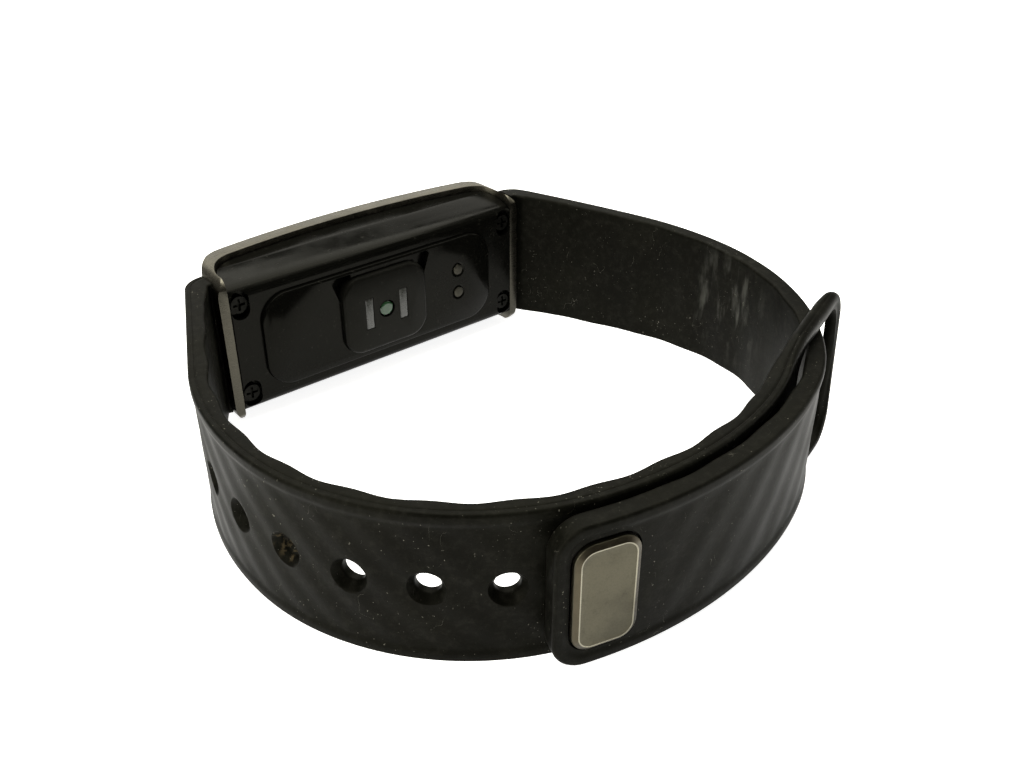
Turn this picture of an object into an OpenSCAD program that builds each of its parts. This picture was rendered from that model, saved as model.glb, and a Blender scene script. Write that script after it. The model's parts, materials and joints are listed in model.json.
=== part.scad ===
// Fitness tracker band, closed as a loop and standing on its long edge.
// X runs along the case, +Y points out of the display, +Z across the straps.
// The origin is on the lower case rail, midway along it and midway through its depth.

/* [Case] */
// Length of the metal case frame
case_l = 42.4; // [42:0.1:43]
// Height of the case frame, which is the height of the whole band on its edge
case_h = 18.6; // [18.4:0.1:19]
// Depth of the frame's two long rails, from display side to wrist side
rail_d = 3; // [2.8:0.1:3.2]
// Thickness of the long rails
rail_t = 1.2; // [1:0.1:1.2]
// Thickness of the end bars
bar_t = 1.3; // [1.2:0.1:1.4]
// Radius of the frame's front edge where the arch turns down to the end bars
arch_corner_r = 5.4; // [5.2:0.1:5.6]
// Angle of the arch where it meets that radius
arch_a = 9; // [8:0.5:10]
// How far the end bars and the rear of the case reach toward the wrist
bar_rear_y = -8; // [-8.2:0.1:-7.8]
// Wrist-side face of the rear cover
cover_y = -7.4; // [-7.5:0.1:-7.3]
// How far the island and the sensor pad each stand out of the rear cover
island_step = 0.5; // [0.3:0.1:0.6]
// How far the sensor pad stands out of the island
pad_step = 0.7; // [0.5:0.1:0.9]

/* [Straps] */
// Strap thickness away from the case
strap_t = 2; // [1.8:0.1:2]
// Strap thickness where it joins the case
root_t = 2.9; // [2.6:0.1:3]
// Width of both straps at the case
root_w = 16.5; // [16:0.1:16.8]
// Width of the long strap, which has the adjusting holes
long_w = 15.5; // [15:0.1:15.8]
// Width of the short strap, which carries the clasp
short_w = 14.6; // [14:0.1:14.8]
// Diameter of the adjusting holes
hole_d = 2.2; // [2:0.1:2.4]
// Diameter of the funnel at the mouth of each hole
mouth_d = 3.4; // [3.2:0.1:4]
// Depth of the funnel
mouth_depth = 1; // [0.8:0.1:1.2]
// Distance between the adjusting holes along the strap
hole_pitch = 6.7; // [6.6:0.1:6.8]

/* [Keeper loop] */
// Height of the slot that the short strap passes through
slot_h = 15.4; // [15.2:0.1:15.6]
// Length of the slot along the strap
slot_l = 12.6; // [12.4:0.1:12.8]
// Thickness of the loop
loop_t = 1.4; // [1.2:0.1:1.6]
// Outward lean of the loop against the strap
loop_lean = 2.8; // [2:0.1:4]

/* [Clasp] */
// Size of the metal clasp plate along the strap
plate_l = 6; // [5.6:0.1:6.4]
// Size of the metal clasp plate across the strap
plate_h = 10.9; // [10:0.1:11.4]
// Diameter of the clasp stud's shank
stud_d = 1.1; // [1:0.1:1.2]
// Diameter of the clasp stud's head
head_d = 1.5; // [1.4:0.1:1.6]

/* [Hidden] */
$fn = 48;

zc = case_h / 2;              // every part is centred at this height
half_l = case_l / 2;
frame_crown = rail_d / 2;     // front of the rails at mid length
seat_gap = 0.1;               // gap round a part that drops into another
big = 60;                     // longer than anything it has to cut
far_rear = -20;               // wrist side and display side of anything along Y
far_front = 10;

// ---- paths made of straight runs and arcs -----------------------------------------------
// A bend is [0, length] for a straight run, or [radius, angle] with a positive angle to the left.
function ahead(h) = [cos(h), sin(h)];
function left_of(h) = [-sin(h), cos(h)];
function bend_end(p, h, b) =
    b[0] == 0 ? p + b[1] * ahead(h)
              : p + b[0] * sign(b[1]) * (left_of(h) - left_of(h + b[1]));
function bend_heading(h, b) = b[0] == 0 ? h : h + b[1];
function bend_length(b) = b[0] == 0 ? b[1] : b[0] * abs(b[1]) * PI / 180;

// Place at distance s along a path: [point, heading]
function place(p, h, bends, s, i = 0) =
    let (b = bends[i], len = bend_length(b))
    s <= len || i == len(bends) - 1
        ? (b[0] == 0 ? [p + s * ahead(h), h]
                     : let (turn = b[1] * s / len)
                       [p + b[0] * sign(b[1]) * (left_of(h) - left_of(h + turn)), h + turn])
        : place(bend_end(p, h, b), bend_heading(h, b), bends, s - len, i + 1);

function shift_left(at, d) = at[0] + d * left_of(at[1]);

// Closes an outline whose half is given with its mirror image across the first axis
function both_sides(half) =
    concat(half, [for (i = [len(half) - 1:-1:0]) [half[i][0], -half[i][1]]]);

// ---- straps in plan: the paths follow the outer faces --------------------------------------
join_run = 2;                 // straight run between the bend at the case and the strap's sweep
join_r = 3;                   // outer radius of the bend at the case
join_a = 71.3;                // angle of that bend
sweep_h = -113.7;             // heading of the long strap as it leaves the case

long_start = [-20.2, -2.9];
long_bends = [[join_r, join_a], [0, join_run + 14.8], [33.3, 29.1], [25.9, 70.2], [38.8, 37.7], [0, 30]];
short_start = [20.7, -3.2];
short_bends = [[join_r, -join_a], [0, join_run + 2.3], [197, -3.5], [36, -19.1], [25, -23], [34.5, -26.7],
               [26.5, -17.1], [43, -15.9], [44.5, -43.8]];
join_len = join_r * join_a * PI / 180 + join_run;   // path used up before the sweep begins

function long_at(s) = place(long_start, sweep_h - join_a, long_bends, s);
function short_at(s) = place(short_start, join_a - 66.3, short_bends, s);

hole_count = 10;
first_hole_s = join_len + 22.15;
loop_pivot_s = join_len + 91.5;              // where the keeper loop bends against the strap
tip_end_s = join_len + 95.1;
clasp_s = tip_end_s - 4.9;                   // the stud goes through the seventh hole
tip_pivot_s = clasp_s - 14;                  // where the strap bends when the clasp is pulled open
pivot_gap = 1.25;                            // from a pivot axis to the end of the fixed strap
root_taper = 8;                              // the strap thins over this length from the case

function strap_thickness(s) = s > root_taper ? strap_t : root_t - (root_t - strap_t) * s / root_taper;

// Distances at which a strap's outline gets a point
station_step = 1.7;
function stations(s0, s1) =
    let (n = ceil((s1 - s0) / station_step)) [for (i = [0:n]) s0 + (s1 - s0) * i / n];

module long_plan(s0, s1) {
    st = stations(s0, s1);
    n = len(st) - 1;
    polygon(concat([for (s = st) long_at(s)[0]],
                   [for (i = [n:-1:0]) shift_left(long_at(st[i]), strap_thickness(st[i]))]));
}

// nose is an arc's worth of points that closes the outline where it starts
module short_plan(s0, s1, nose = []) {
    st = stations(s0, s1);
    n = len(st) - 1;
    polygon(concat([for (s = st) short_at(s)[0]],
                   [for (i = [n:-1:0]) shift_left(short_at(st[i]), -strap_thickness(st[i]))],
                   nose));
}

// Side view of a strap, which narrows from the case to its own width
wide_to_y = -6;               // the straps start to narrow here
long_narrow_y = -22;          // and have reached their own widths here
short_narrow_y = -38;
module strap_width_limit(w, narrow_y) {
    translate([-big, 0, zc]) rotate([90, 0, 90]) linear_extrude(2 * big)
        polygon(both_sides([[far_front, root_w / 2], [wide_to_y, root_w / 2],
                            [narrow_y, w / 2], [-2 * big, w / 2]]));
}

// ---- shapes in the case's own front view ------------------------------------------------
module rounded_rect(w, h, r) {
    square([w - 2 * r, h], center = true);
    square([w, h - 2 * r], center = true);
    for (x = [-1, 1], y = [-1, 1]) translate([x * (w / 2 - r), y * (h / 2 - r)]) circle(r);
}

// Extrudes a front-view outline, centred on the case, from y0 to y1
module along_y(y0, y1) {
    translate([0, y1, zc]) rotate([90, 0, 0]) linear_extrude(y1 - y0) children();
}

module box(x0, x1, y0, y1, half_h) {
    translate([x0, y0, zc - half_h]) cube([x1 - x0, y1 - y0, 2 * half_h]);
}

module rod_y(x, z, d, y0, y1) {
    translate([x, y1, z]) rotate([90, 0, 0]) cylinder(d = d, h = y1 - y0);
}

// Plan outline of the arched case: half is half its length, crown is the front at mid length
arch_steps = 14;
corner_steps = 9;
function arched_outline(half, r, crown, base_y) =
    let (arch_half = half - r * (1 - sin(arch_a)),
         arch_r = arch_half / sin(arch_a),
         corner_c = [half - r, crown - arch_r * (1 - cos(arch_a)) - r * cos(arch_a)])
    concat([[half, base_y]],
           [for (i = [0:corner_steps])
               let (a = (90 - arch_a) * i / corner_steps) corner_c + r * [cos(a), sin(a)]],
           [for (i = [1:arch_steps])
               let (a = 90 - arch_a + 2 * arch_a * i / arch_steps)
               [0, crown - arch_r] + arch_r * [cos(a), sin(a)]],
           [for (i = [1:corner_steps])
               let (a = 90 + arch_a + (90 - arch_a) * i / corner_steps)
               [-corner_c[0], corner_c[1]] + r * [cos(a), sin(a)]],
           [[-half, base_y]]);

// ---- case ----------------------------------------------------------------------------------
inner_half = half_l - bar_t;
inner_h = case_h - 2 * rail_t;
frame_corner_r = 2.4;
opening_r = 1.4;              // corners of the frame's opening
insert_y0 = -5.2;             // strap inserts lie between these two depths
insert_y1 = -3.9;
insert_half_h = 7.2;
insert_x0 = 17.3;             // inner and outer ends of the inserts
insert_x1 = 22.6;
screw_x = 18.4;
screw_z = 5.6;                // screws stand this far above and below the middle
sensor_x = -0.5;
contact_x = 10.7;
contact_z = 1.55;             // charging contacts sit this far above and below the middle
contact_d = 1.4;
island_x = -0.3;
pad_w = 11.7;
pad_h = 9.9;
pad_r = 2.5;
lens_d = 2.2;
diode_x = 2.4;                // photodiodes sit this far either side of the lamp
diode_w = 1.1;
diode_h = 4;
floor_y = -6.4;               // inner face of the rear cover's floor
board_y0 = -5.35;             // main board, wrist side and display side
board_y1 = -4.75;
sensor_board_y0 = -5.75;
chassis_y0 = -1.95;
chassis_y1 = -1.25;
panel_y0 = -1.15;
panel_y1 = 0;
panel_half = 12.5;            // half the length and half the height of the display panel
panel_half_h = 6.6;
glass_crown = frame_crown + 0.2;
glass_t = 0.9;
glass_r = 3.9;
glass_base_y = -1.8;
battery_x = -3.9;
battery_l = 25.2;
battery_h = 13;
battery_y0 = -4.65;
battery_y1 = -2.05;
motor_x = 12.9;
motor_y0 = -4.7;
motor_y1 = -2.15;
motor_d = 7;
motor_wall = 0.25;
shaft_d = 0.8;
rotor_d = 5.8;
rotor_gap = 0.05;             // radial clearance between the motor's shaft and the rotor

module bezel_frame() color([0.55, 0.53, 0.5]) {
    difference() {
        intersection() {
            linear_extrude(case_h) difference() {
                polygon(arched_outline(half_l, arch_corner_r, frame_crown, bar_rear_y));
                polygon(arched_outline(inner_half, arch_corner_r - bar_t, frame_crown - rail_d,
                                       bar_rear_y - 1));
            }
            along_y(far_rear, far_front) rounded_rect(case_l, case_h, frame_corner_r);
        }
        along_y(far_rear, far_front) rounded_rect(2 * inner_half, inner_h, opening_r);
        for (side = [-1, 1])
            translate([side * half_l, (insert_y0 + insert_y1) / 2, zc])
                cube([3 * bar_t, insert_y1 - insert_y0 + 2 * seat_gap,
                      2 * (insert_half_h + seat_gap)], center = true);
    }
}

glass_half = inner_half - seat_gap;
module glass_inner_plan() {
    polygon(arched_outline(glass_half - glass_t, glass_r - glass_t, glass_crown - glass_t, far_rear - 1));
}

module display_glass() color([0.03, 0.03, 0.035]) {
    intersection() {
        linear_extrude(case_h) difference() {
            polygon(arched_outline(glass_half, glass_r, glass_crown, far_rear));
            glass_inner_plan();
        }
        along_y(glass_base_y, far_front)
            rounded_rect(2 * glass_half, inner_h - 2 * seat_gap, opening_r - seat_gap);
    }
}

module display_adhesive() color([0.75, 0.78, 0.8]) {
    intersection() {
        linear_extrude(case_h) glass_inner_plan();
        box(-panel_half, panel_half, panel_y1, far_front, panel_half_h);
    }
}

module display_panel() color([0.05, 0.05, 0.08])
    box(-panel_half, panel_half, panel_y0, panel_y1, panel_half_h);

flex_x = 8.9;                 // the flat cable runs behind the panel and down to the main board
flex_t = 0.1;
module display_flex() color([0.75, 0.45, 0.1]) {
    box(flex_x, panel_half - 0.5, chassis_y1, panel_y0, 3);
    box(flex_x, flex_x + flex_t, board_y1, panel_y0, 3);
}

module touch_electrode() color([0.8, 0.55, 0.2]) box(-16.7, -13.4, -0.9, -0.75, 4);

module antenna() color([0.8, 0.55, 0.2]) box(13.3, 16.7, chassis_y1, chassis_y1 + 0.15, 6);

module inner_chassis() color([0.12, 0.12, 0.13]) {
    difference() {
        union() {
            box(-17.8, 17.8, chassis_y0, chassis_y1, 7.2);
            for (side = [0, 1]) mirror([side, 0, 0])
                box(insert_x0 - seat_gap, 19.3, insert_y1, glass_base_y - seat_gap, 7);
        }
        box(flex_x - flex_t, flex_x + 2 * flex_t, chassis_y0 - 1, chassis_y1 + 1, 3.1);
    }
}

module main_board() color([0.05, 0.25, 0.12]) box(-16.6, 16.6, board_y0, board_y1, 7);

module board_chips() color([0.15, 0.15, 0.16]) {
    // Each chip's middle X, length, thickness and half height
    for (c = [[-11.2, 4.2, 0.8, 2.1], [-15, 2.6, 0.6, 1.3], [7.4, 2, 0.8, 1], [14.6, 3, 0.7, 1.5]])
        box(c[0] - c[1] / 2, c[0] + c[1] / 2, board_y0 - c[2], board_y0, c[3]);
}

module battery() color([0.65, 0.67, 0.7]) {
    translate([battery_x, 0, 0]) along_y(battery_y0, battery_y1)
        rounded_rect(battery_l, battery_h, 0.8);
}

module battery_pad() color([0.85, 0.85, 0.8]) box(battery_x - 10, battery_x + 10, battery_y1, chassis_y0, 5);

module battery_tab() color([0.75, 0.7, 0.55]) 
    box(battery_x - battery_l / 2 - 0.15, battery_x - battery_l / 2, board_y1, -3, 1.5);

module motor_can() color([0.7, 0.7, 0.72]) {
    difference() {
        rod_y(motor_x, zc, motor_d, motor_y0, motor_y1);
        rod_y(motor_x, zc, motor_d - 2 * motor_wall, motor_y0 + motor_wall, motor_y1 - motor_wall);
    }
    rod_y(motor_x, zc, shaft_d, motor_y0 + motor_wall / 2, motor_y1 - motor_wall / 2);
}

module motor_rotor() color([0.5, 0.45, 0.35]) {
    difference() {
        union() {
            rod_y(motor_x, zc, 1.8, motor_y0 + 0.55, motor_y1 - 0.55);
            intersection() {
                rod_y(motor_x, zc, rotor_d, motor_y0 + 0.6, motor_y1 - 0.6);
                translate([motor_x - rotor_d, far_rear, zc - rotor_d])
                    cube([2 * rotor_d, -far_rear, rotor_d]);
            }
        }
        rod_y(motor_x, zc, shaft_d + 2 * rotor_gap, far_rear, 0);
    }
}

module sensor_board() color([0.05, 0.25, 0.12])
    box(sensor_x - 5.3, sensor_x + 5.3, sensor_board_y0, board_y0, 4.4);

module green_led() color([0.3, 0.9, 0.4])
    box(sensor_x - 0.6, sensor_x + 0.6, sensor_board_y0 - 0.45, sensor_board_y0, 0.6);

module photodiodes() color([0.2, 0.2, 0.25])
    for (x = [-diode_x, diode_x])
        box(sensor_x + x - 0.5, sensor_x + x + 0.5, sensor_board_y0 - 0.4, sensor_board_y0, 1.8);

module light_barrier() color([0.04, 0.04, 0.04]) {
    difference() {
        box(sensor_x - 5.2, sensor_x + 5.2, floor_y, sensor_board_y0, 4.3);
        box(sensor_x - 0.9, sensor_x + 0.9, far_rear, 0, 0.9);
        for (x = [-diode_x, diode_x])
            box(sensor_x + x - 0.65, sensor_x + x + 0.65, far_rear, 0, 2);
    }
}

// Outline of the sensor pad in the case's front view, grown by a gap
module pad_outline(gap) {
    translate([sensor_x, 0]) rounded_rect(pad_w + 2 * gap, pad_h + 2 * gap, pad_r + gap);
}

pad_y = cover_y - island_step - pad_step;
module sensor_cover() color([0.03, 0.03, 0.03]) {
    difference() {
        along_y(pad_y, floor_y) pad_outline(0);
        rod_y(sensor_x, zc, lens_d, far_rear, 0);
        for (x = [-diode_x, diode_x])
            box(sensor_x + x - diode_w / 2, sensor_x + x + diode_w / 2, far_rear, 0, diode_h / 2);
    }
}

module photodiode_windows() color([0.6, 0.62, 0.6])
    for (x = [-diode_x, diode_x])
        box(sensor_x + x - diode_w / 2, sensor_x + x + diode_w / 2, pad_y, floor_y, diode_h / 2);

module led_lens() color([0.55, 0.85, 0.6]) rod_y(sensor_x, zc, lens_d - 0.04, pad_y, floor_y);

contact_y = cover_y - island_step - 0.05;
module charge_contacts() color([0.75, 0.72, 0.6])
    for (z = [-contact_z, contact_z]) {
        rod_y(contact_x, zc + z, contact_d, contact_y, floor_y + 0.01);
        rod_y(contact_x, zc + z, 2.8, floor_y, floor_y + 0.4);
        rod_y(contact_x, zc + z, 1, floor_y + 0.2, board_y0);
    }

cover_half = inner_half - seat_gap;
cover_gap = 0.2;              // the rear cover's rim stays this far behind the rails
cavity_half_h = 7.3;
screw_d = 1.2;
screw_head_d = 2;
screw_head_t = 0.6;
screw_sink = 0.3;             // screw heads sit this far below the cover's face
module rear_cover() color([0.02, 0.02, 0.02]) {
    difference() {
        union() {
            intersection() {
                linear_extrude(case_h)
                    polygon(arched_outline(cover_half, arch_corner_r - bar_t,
                                           frame_crown - rail_d - cover_gap, cover_y));
                translate([-big / 2, 0, zc]) rotate([90, 0, 90]) linear_extrude(big)
                    polygon(both_sides([[0, 8.6], [-5.4, 8.2], [-6.7, 7.7], [cover_y, 6.9]]));
            }
            along_y(cover_y - island_step, cover_y + 0.1)
                translate([island_x, 0]) rounded_rect(32, 11.7, 3.4);
        }
        box(-17, 17, floor_y, far_front, cavity_half_h);
        box(-big / 2, big / 2, insert_y0, far_front, cavity_half_h);
        along_y(far_rear, 0) pad_outline(seat_gap / 2);
        for (z = [-contact_z, contact_z]) rod_y(contact_x, zc + z, contact_d + seat_gap, far_rear, 0);
        for (x = [-screw_x, screw_x], z = [-screw_z, screw_z]) {
            rod_y(x, zc + z, screw_d + 2 * seat_gap, far_rear, 0);
            rod_y(x, zc + z, screw_head_d + 0.4, far_rear, cover_y + screw_sink + screw_head_t);
        }
    }
}

// One strip under each long rail, between the rear cover's rim and the rail
seal_l = 30;
seal_z0 = inner_h / 2;
seal_z1 = 8.5;
module cover_seal() color([0.1, 0.1, 0.1]) {
    intersection() {
        linear_extrude(case_h) difference() {
            polygon(arched_outline(inner_half, arch_corner_r - bar_t, frame_crown - rail_d, far_rear));
            polygon(arched_outline(cover_half, arch_corner_r - bar_t,
                                   frame_crown - rail_d - cover_gap, far_rear - 1));
        }
        for (z = [zc - seal_z1, zc + seal_z0])
            translate([-seal_l / 2, -5, z]) cube([seal_l, far_front, seal_z1 - seal_z0]);
    }
}

head_y = cover_y + screw_sink;
module strap_screws() color([0.5, 0.5, 0.52])
    for (x = [-screw_x, screw_x], z = [-screw_z, screw_z]) {
        difference() {
            rod_y(x, zc + z, screw_head_d, head_y, head_y + screw_head_t);
            for (turn = [0, 90])
                translate([x, head_y, zc + z]) rotate([0, turn, 0])
                    cube([1.4, 0.6, 0.3], center = true);
        }
        rod_y(x, zc + z, screw_d, head_y + screw_head_t - 0.01, insert_y1 - 0.2);
    }

// ---- straps ----------------------------------------------------------------------------------
module insert_block() { box(insert_x0, insert_x1, insert_y0, insert_y1, insert_half_h); }

module strap_insert() {
    difference() {
        insert_block();
        for (z = [-screw_z, screw_z]) rod_y(screw_x, zc + z, screw_d + seat_gap, far_rear, 0);
    }
}

module short_strap_insert() color([0.2, 0.2, 0.21]) strap_insert();

module long_strap_insert() color([0.2, 0.2, 0.21]) mirror([1, 0, 0]) strap_insert();

// Stands a child shape, drawn with X along the strap and Y through it, at a place on a path
module at_place(at) {
    translate([at[0][0], at[0][1], zc]) rotate([0, 0, at[1]]) children();
}

// Funnel-mouthed hole through the long strap, drawn along +Y from the outer face
module adjusting_hole() {
    rotate([-90, 0, 0]) {
        translate([0, 0, -1]) cylinder(d = hole_d, h = strap_t + 2);
        translate([0, 0, -0.01]) cylinder(d1 = mouth_d, d2 = hole_d, h = mouth_depth);
    }
}

// Cuts a strap off just clear of the end bar
module strap_stop() { translate([0, far_rear / 2, 0]) cube([half_l + 0.05, 15, case_h]); }

module long_strap() color([0.06, 0.06, 0.055]) {
    difference() {
        intersection() {
            linear_extrude(case_h) long_plan(0, loop_pivot_s - pivot_gap);
            strap_width_limit(long_w, long_narrow_y);
        }
        mirror([1, 0, 0]) strap_stop();
        mirror([1, 0, 0]) insert_block();
        for (i = [0:hole_count - 1]) at_place(long_at(first_hole_s + i * hole_pitch)) adjusting_hole();
    }
}

// The loop is flat: X runs on from its pivot, Y is its thickness toward the wrist
bar_w = 1.8;                  // the bar across the loop's far end
loop_corner_r = 3.5;
neck_l = 1.2;                 // the loop is as wide as the strap up to here, then flares out
loop_len = 17.6;
slot_x = loop_len - bar_w - slot_l;
module loop_outline() {
    polygon(both_sides([[0, long_w / 2], [neck_l, long_w / 2], [slot_x + 0.6, case_h / 2]]));
    translate([(loop_len + slot_x) / 2, 0]) rounded_rect(loop_len - slot_x, case_h, loop_corner_r);
}

module keeper_loop() color([0.06, 0.06, 0.055]) {
    pivot = long_at(loop_pivot_s);
    at_place([shift_left(pivot, strap_t / 2), pivot[1] - loop_lean]) {
        rotate([90, 0, 0]) translate([0, 0, -loop_t / 2]) linear_extrude(loop_t) difference() {
            loop_outline();
            translate([slot_x + slot_l / 2, 0]) rounded_rect(slot_l, slot_h, 1);
        }
        cylinder(d = strap_t, h = long_w, center = true);
    }
}

module short_strap() color([0.06, 0.06, 0.055]) {
    difference() {
        intersection() {
            linear_extrude(case_h) short_plan(0, tip_pivot_s - pivot_gap);
            strap_width_limit(short_w, short_narrow_y);
        }
        strap_stop();
        insert_block();
    }
}

plate_sink = 0.5;             // the plate sits in a recess this deep
plate_t = 0.8;
plate_r = 1.8;
stud_seat = 0.3;              // the stud's end is let into the plate's back this far
stud_len = 4.9;
head_h = 0.7;
tip_corner_r = 3;
nose_steps = 10;              // the tip's hinge end is a half round of this many sides
module strap_tip() color([0.06, 0.06, 0.055]) {
    hinge_place = short_at(tip_pivot_s);
    hinge_centre = shift_left(hinge_place, -strap_t / 2);
    nose = [for (i = [1:nose_steps - 1])
        let (a = hinge_place[1] - 90 - 180 * i / nose_steps)
        hinge_centre + strap_t / 2 * [cos(a), sin(a)]];
    difference() {
        intersection() {
            linear_extrude(case_h) short_plan(tip_pivot_s, tip_end_s, nose);
            at_place(short_at(tip_end_s)) rotate([90, 0, 0])
                translate([-big / 2, 0, -big / 4]) linear_extrude(big / 2)
                    rounded_rect(big, short_w, tip_corner_r);
        }
        at_place(short_at(clasp_s)) rotate([90, 0, 0]) {
            translate([0, 0, -1]) linear_extrude(1 + plate_sink)
                rounded_rect(plate_l + 2 * seat_gap, plate_h + 2 * seat_gap, plate_r + seat_gap);
            translate([0, 0, -1]) cylinder(d = stud_d + 0.02, h = strap_t + 2);
        }
    }
}

module clasp_plate() color([0.62, 0.58, 0.52])
    at_place(short_at(clasp_s)) rotate([90, 0, 0])
        translate([0, 0, plate_sink - plate_t]) difference() {
            linear_extrude(plate_t) rounded_rect(plate_l, plate_h, plate_r);
            translate([0, 0, plate_t - stud_seat]) cylinder(d = stud_d, h = 1);
        }

module clasp_stud() color([0.62, 0.58, 0.52])
    at_place(short_at(clasp_s)) rotate([90, 0, 0]) {
        translate([0, 0, plate_sink - stud_seat]) cylinder(d = stud_d, h = stud_len);
        translate([0, 0, plate_sink - stud_seat + stud_len - head_h])
            cylinder(d = head_d, h = head_h);
    }

bezel_frame();
display_glass();
display_adhesive();
display_panel();
display_flex();
touch_electrode();
antenna();
inner_chassis();
main_board();
board_chips();
battery();
battery_pad();
battery_tab();
motor_can();
motor_rotor();
sensor_board();
green_led();
photodiodes();
light_barrier();
sensor_cover();
photodiode_windows();
led_lens();
charge_contacts();
rear_cover();
cover_seal();
strap_screws();
long_strap_insert();
short_strap_insert();
long_strap();
keeper_loop();
short_strap();
strap_tip();
clasp_plate();
clasp_stud();
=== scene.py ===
"""Looks for the fitness tracker band: straps, clasp, case and sensor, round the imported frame.

Lengths in this file are millimetres; finished meshes are scaled to metres when they are made.
X runs along the case, +Y out of the display, +Z across the straps.
"""
import json
import math

import bmesh
import bpy
import numpy as np
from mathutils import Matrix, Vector


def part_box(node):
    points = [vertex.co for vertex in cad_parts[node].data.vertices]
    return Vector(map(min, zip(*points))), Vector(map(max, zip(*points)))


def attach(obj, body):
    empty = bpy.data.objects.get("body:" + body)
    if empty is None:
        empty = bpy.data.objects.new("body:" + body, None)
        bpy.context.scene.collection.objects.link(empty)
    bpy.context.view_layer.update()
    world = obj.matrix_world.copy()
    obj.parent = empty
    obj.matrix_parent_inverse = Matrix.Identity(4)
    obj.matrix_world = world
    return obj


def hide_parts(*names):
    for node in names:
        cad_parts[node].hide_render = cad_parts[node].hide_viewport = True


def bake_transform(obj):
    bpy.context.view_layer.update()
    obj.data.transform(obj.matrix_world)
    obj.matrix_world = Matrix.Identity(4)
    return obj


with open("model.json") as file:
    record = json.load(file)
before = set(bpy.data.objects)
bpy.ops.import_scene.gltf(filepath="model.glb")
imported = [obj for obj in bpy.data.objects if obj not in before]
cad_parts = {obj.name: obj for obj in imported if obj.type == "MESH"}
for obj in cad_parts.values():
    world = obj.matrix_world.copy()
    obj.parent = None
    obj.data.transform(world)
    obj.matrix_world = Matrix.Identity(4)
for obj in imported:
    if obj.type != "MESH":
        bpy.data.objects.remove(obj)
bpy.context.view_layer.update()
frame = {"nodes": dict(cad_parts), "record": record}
MM = 0.001


def node_box(name):
    """Lowest and highest corners of a CAD node, in millimetres."""
    low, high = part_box(name)
    return np.array(low) / MM, np.array(high) / MM


# ---------------------------------------------------------------- sizes taken from the frame
case_low, case_high = node_box("bezel_frame")
CASE_H = case_high[2]
MID_Z = CASE_H / 2
HALF_L = case_high[0] - 0.5          # the finished frame ends half a millimetre inside the CAD's
CROWN = case_high[1]
BAR_REAR_Y = case_low[1] + 0.7       # and its end bars are that much less deep

# ---------------------------------------------------------------- camera, floor and light
CAMERA_AT = (-59.9, -104.6, 66.4)
CAMERA_AIM = (9.7, -19.8, 0.0)
LENS = 36.63
LIGHT_AIM = (0, -28, 5)
WARM_LIGHT = (1, 0.97, 0.86)
FLOOR_SIZE, FLOOR_R, FLOOR_Z = 8000, 3900, -0.02


def aim(obj, at, target):
    """Places a camera or light at one point, looking at another."""
    obj.location = Vector(at) * MM
    direction = (Vector(target) - Vector(at)).normalized()
    obj.rotation_euler = direction.to_track_quat("-Z", "Y").to_euler()


def add_camera():
    camera = bpy.data.cameras.new("camera")
    camera.lens = LENS
    camera.sensor_width = 36
    camera.clip_start = 0.002
    obj = bpy.data.objects.new("camera", camera)
    bpy.context.scene.collection.objects.link(obj)
    aim(obj, CAMERA_AT, CAMERA_AIM)
    bpy.context.scene.camera = obj


def add_light(name, at, size, power, colour):
    """A soft rectangular light; power is in watts."""
    light = bpy.data.lights.new(name, "AREA")
    light.shape = "RECTANGLE"
    light.size, light.size_y = size[0] * MM, size[1] * MM
    light.energy = power
    light.color = colour
    obj = bpy.data.objects.new(name, light)
    bpy.context.scene.collection.objects.link(obj)
    aim(obj, at, LIGHT_AIM)


def add_studio():
    world = bpy.data.worlds.new("world")
    bpy.context.scene.world = world
    world.use_nodes = True
    background = world.node_tree.nodes["Background"]
    background.inputs["Color"].default_value = (1.0, 0.98, 0.9, 1)
    background.inputs["Strength"].default_value = 0.13
    add_light("top_light", (30, 40, 260), (400, 260), 1.5, (1, 0.98, 0.9))
    add_light("left_light", (-260, -60, 110), (160, 200), 0.46, WARM_LIGHT)
    add_light("right_light", (230, -130, 120), (120, 160), 0.11, WARM_LIGHT)
    add_light("back_light", (110, 270, 150), (460, 200), 0.33, (1, 0.97, 0.88))
    outline = rounded_outline(FLOOR_SIZE, FLOOR_SIZE, FLOOR_R, 24)
    floor = build_mesh("floor", [(x, y, FLOOR_Z) for x, y in outline], [tuple(range(len(outline)))])
    paint(floor, floor_material())


# ---------------------------------------------------------------- mesh helpers
SHARP_DEG = 35       # edges sharper than this stay crisp unless a piece says otherwise


def build_mesh(name, points, faces):
    """A smooth mesh object from points in millimetres."""
    mesh = bpy.data.meshes.new(name)
    mesh.from_pydata([tuple(float(c) * MM for c in p) for p in points], [], [tuple(f) for f in faces])
    mesh.validate()
    obj = bpy.data.objects.new(name, mesh)
    bpy.context.scene.collection.objects.link(obj)
    smooth(obj)
    return obj


def smooth(obj, sharp_deg=SHARP_DEG):
    """Smooth shading, except at edges sharper than sharp_deg."""
    mesh = obj.data
    mesh.polygons.foreach_set("use_smooth", [True] * len(mesh.polygons))
    mesh.set_sharp_from_angle(angle=math.radians(sharp_deg))
    mesh.update()


def paint(obj, *materials):
    """Gives a mesh these materials and no others."""
    obj.data.materials.clear()
    for material in materials:
        obj.data.materials.append(material)


def bake_modifiers(obj):
    """Replaces the object's mesh with the result of its modifiers."""
    bpy.context.view_layer.update()
    depsgraph = bpy.context.evaluated_depsgraph_get()
    mesh = bpy.data.meshes.new_from_object(obj.evaluated_get(depsgraph))
    old = obj.data
    obj.modifiers.clear()
    obj.data = mesh
    bpy.data.meshes.remove(old)


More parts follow.
